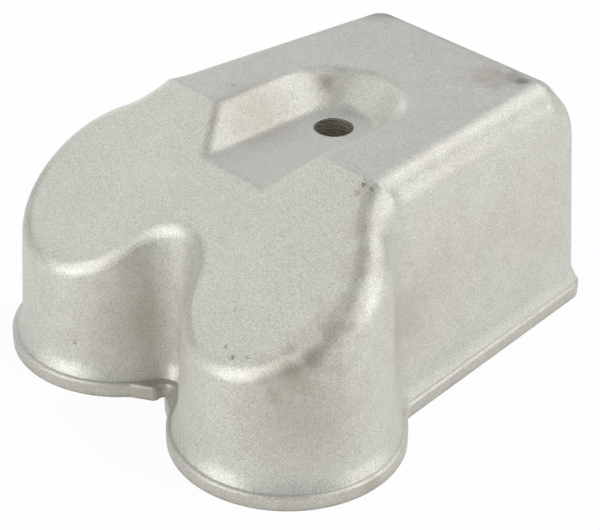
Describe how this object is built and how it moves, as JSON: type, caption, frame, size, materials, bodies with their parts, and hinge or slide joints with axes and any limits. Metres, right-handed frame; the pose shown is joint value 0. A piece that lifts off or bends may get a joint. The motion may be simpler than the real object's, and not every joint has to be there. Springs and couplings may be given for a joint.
{
  "type": "rocker cover",
  "caption": "Hollow cast cover with two rounded lobes, a sloping front roof and a bolt hole in a roof recess.",
  "frame": {"origin": "on the gasket face, under the middle of the outline", "axes": "+X across the cover, +Y from the two lobes towards the flat rear wall, +Z from the gasket face up to the roof"},
  "size_m": [0.1066, 0.119, 0.0572],
  "materials": {
    "cast_aluminium": "shot-blasted satin"
  },
  "bodies": {
    "root": {"rocker_cover": "cast_aluminium"}
  },
  "joints": []
}
